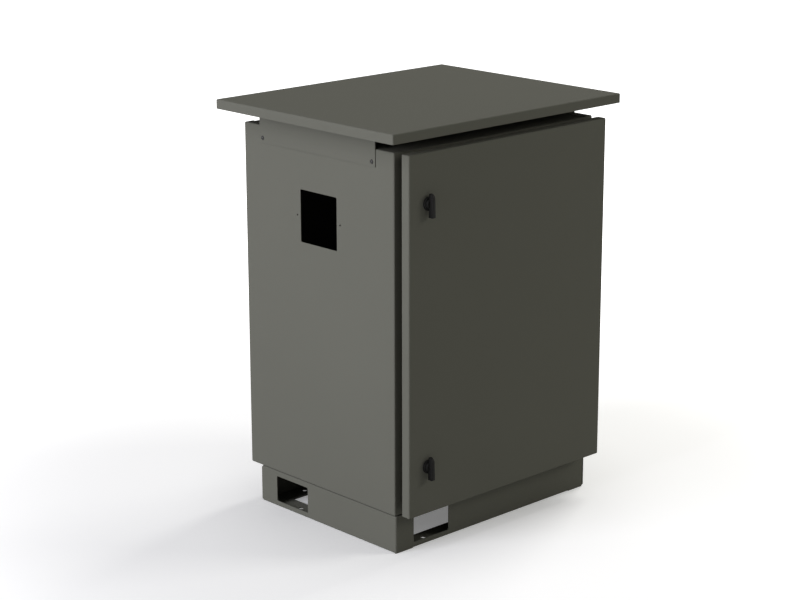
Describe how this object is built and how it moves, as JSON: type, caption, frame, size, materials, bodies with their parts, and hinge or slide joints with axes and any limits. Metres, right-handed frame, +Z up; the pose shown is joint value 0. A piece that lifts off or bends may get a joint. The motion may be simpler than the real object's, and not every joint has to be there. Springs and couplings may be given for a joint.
{
  "type": "waterproof rack cabinet",
  "caption": "Floor-standing outdoor rack cabinet of folded painted sheet: raised roof, gasketed side-hung door with quarter-turn wing latches, rack rails inside and a cable plinth below.",
  "frame": {"origin": "middle of the plinth on the floor, at the centre of the floor anchor holes", "axes": "+Z up; the door faces -Y; +X to the right seen from the front, the side with the hinges"},
  "size_m": [0.686, 0.5763, 0.917],
  "materials": {
    "paint": "satin olive-grey powder coat",
    "zinc": "zinc plated",
    "black_plastic": "fine-grained black",
    "black_screw": "black oxide",
    "rubber": "soft black foam",
    "brass": "plain brass"
  },
  "bodies": {
    "cabinet": {"side_panel_left": "paint", "side_panel_right": "paint", "back_panel": "paint", "top_panel": "paint", "bottom_panel": "paint", "gland_plate": "zinc", "gland_plate_gasket": "rubber", "gland_plate_screws": "zinc", "rack_rail_front_left": "zinc", "rack_rail_front_right": "zinc", "rack_rail_rear_left": "zinc", "rack_rail_rear_right": "zinc", "rail_support_upper_left": "zinc", "rail_support_upper_right": "zinc", "rail_support_lower_left": "zinc", "rail_support_lower_right": "zinc", "rail_bolts": "zinc", "rail_nuts": "zinc", "roof_tray": "paint", "roof_bracket_left": "paint", "roof_bracket_right": "paint", "roof_bracket_screws": "black_screw", "roof_bracket_nuts": "zinc", "roof_studs": "zinc", "roof_stud_nuts": "zinc", "plinth_half_front_left": "paint", "plinth_half_rear_right": "paint", "plinth_corner_studs": "zinc", "plinth_corner_nuts": "zinc", "plinth_body_bolts": "zinc", "plinth_washers": "zinc", "plinth_body_nuts": "zinc", "upper_hinge_body_leaf": "zinc", "lower_hinge_body_leaf": "zinc", "upper_hinge_pin": "zinc", "lower_hinge_pin": "zinc", "hinge_body_nuts": "zinc", "earth_stud": "brass", "earth_nut": "brass"},
    "door": {"door_panel": "paint", "door_gasket": "rubber", "door_stiffener_left": "paint", "door_stiffener_right": "paint", "upper_hinge_door_leaf": "zinc", "lower_hinge_door_leaf": "zinc", "door_hinge_studs": "zinc", "door_hinge_nuts": "zinc", "upper_latch_barrel": "black_plastic", "lower_latch_barrel": "black_plastic", "upper_latch_seal": "rubber", "lower_latch_seal": "rubber", "upper_latch_nut": "zinc", "lower_latch_nut": "zinc"},
    "upper_latch": {"upper_wing_knob": "black_plastic", "upper_latch_cam": "zinc", "upper_cam_screw": "zinc"},
    "lower_latch": {"lower_wing_knob": "black_plastic", "lower_latch_cam": "zinc", "lower_cam_screw": "zinc"}
  },
  "joints": [
    {"name": "door_hinge", "type": "hinge", "parent": "cabinet", "child": "door", "pos_m": [0.291, -0.235, 0.479], "axis": [0, 0, 1], "range_deg": [0, 110]},
    {"name": "upper_latch_turn", "type": "hinge", "parent": "door", "child": "upper_latch", "pos_m": [-0.244, -0.263, 0.762], "axis": [0, -1, 0], "range_deg": [0, 90]},
    {"name": "lower_latch_turn", "type": "hinge", "parent": "door", "child": "lower_latch", "pos_m": [-0.244, -0.263, 0.196], "axis": [0, -1, 0], "range_deg": [0, 90]}
  ]
}
